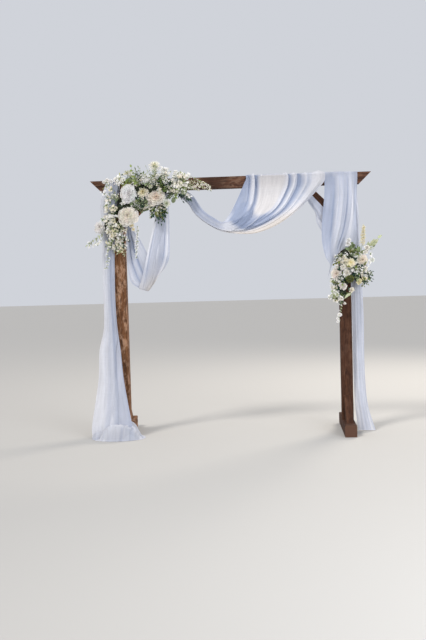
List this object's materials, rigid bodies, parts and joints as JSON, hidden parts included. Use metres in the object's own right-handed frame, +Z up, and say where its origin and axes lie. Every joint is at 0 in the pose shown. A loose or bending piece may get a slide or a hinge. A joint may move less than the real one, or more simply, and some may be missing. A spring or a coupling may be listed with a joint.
{
  "type": "draped timber ceremony arch",
  "caption": "Free-standing square timber arch with knee braces, hung with sheer cloth panels, a swag and a loop, and dressed with two floral sprays.",
  "frame": {"origin": "on the ground, midway between the posts and in the frame's middle plane", "axes": "+Z up, +X to the right along the beam as seen from the dressed front, +Y towards the back"},
  "size_m": [2.4901, 0.745, 2.345],
  "materials": {
    "pale_timber": "rough-sawn orange-brown pine, weathered, matt",
    "dark_timber": "rough-sawn dark red-brown pine, weathered, matt",
    "weathered_beam_timber": "rough-sawn grey-brown pine with darker grain, matt",
    "sheer_cloth": "sheer off-white chiffon, soft folds",
    "foliage": "dull green leaves, matt",
    "grey_leaf": "grey-green leaves, matt",
    "cream_petals": "cream petals, matt",
    "white_petals": "white petals, matt",
    "blush_petals": "pale blush petals, matt",
    "seed_head": "dark green seed head, matt"
  },
  "bodies": {
    "root": {"beam_wrap": "sheer_cloth", "blush_cream_bloom": "blush_petals", "blush_rose": "blush_petals", "brace_wrap": "sheer_cloth", "cream_astilbe": "cream_petals", "cream_carnation": "cream_petals", "cream_cluster": "white_petals", "cream_ruffled_bloom": "cream_petals", "dark_seed_head": "seed_head", "far_left_sprig": "grey_leaf", "left_foot_bearer": "pale_timber", "left_foot_brace_back": "pale_timber", "left_foot_brace_front": "pale_timber", "left_greenery": "foliage", "left_hanging_sprig": "grey_leaf", "left_knee_brace": "pale_timber", "left_panel": "sheer_cloth", "left_panel_pool": "sheer_cloth", "left_plume": "white_petals", "left_post": "pale_timber", "left_tall_sprig": "foliage", "loop_bowl": "sheer_cloth", "loop_left_leg": "sheer_cloth", "loop_right_leg": "sheer_cloth", "low_white_cluster": "white_petals", "middle_plume": "white_petals", "right_foot_bearer": "dark_timber", "right_foot_brace_back": "dark_timber", "right_foot_brace_front": "dark_timber", "right_greenery": "foliage", "right_grey_leaf": "grey_leaf", "right_knee_brace": "dark_timber", "right_panel": "sheer_cloth", "right_plume": "cream_petals", "right_post": "dark_timber", "right_tail": "sheer_cloth", "right_trailing_sprig": "grey_leaf", "spider_bloom": "cream_petals", "spiky_bud": "cream_petals", "swag_arm": "sheer_cloth", "swag_bowl": "sheer_cloth", "top_beam": "weathered_beam_timber", "white_low_bloom": "white_petals", "white_ruffled_bloom": "white_petals", "white_side_bloom": "white_petals", "white_small_bloom": "white_petals", "yellow_cream_bloom": "cream_petals"}
  },
  "joints": []
}
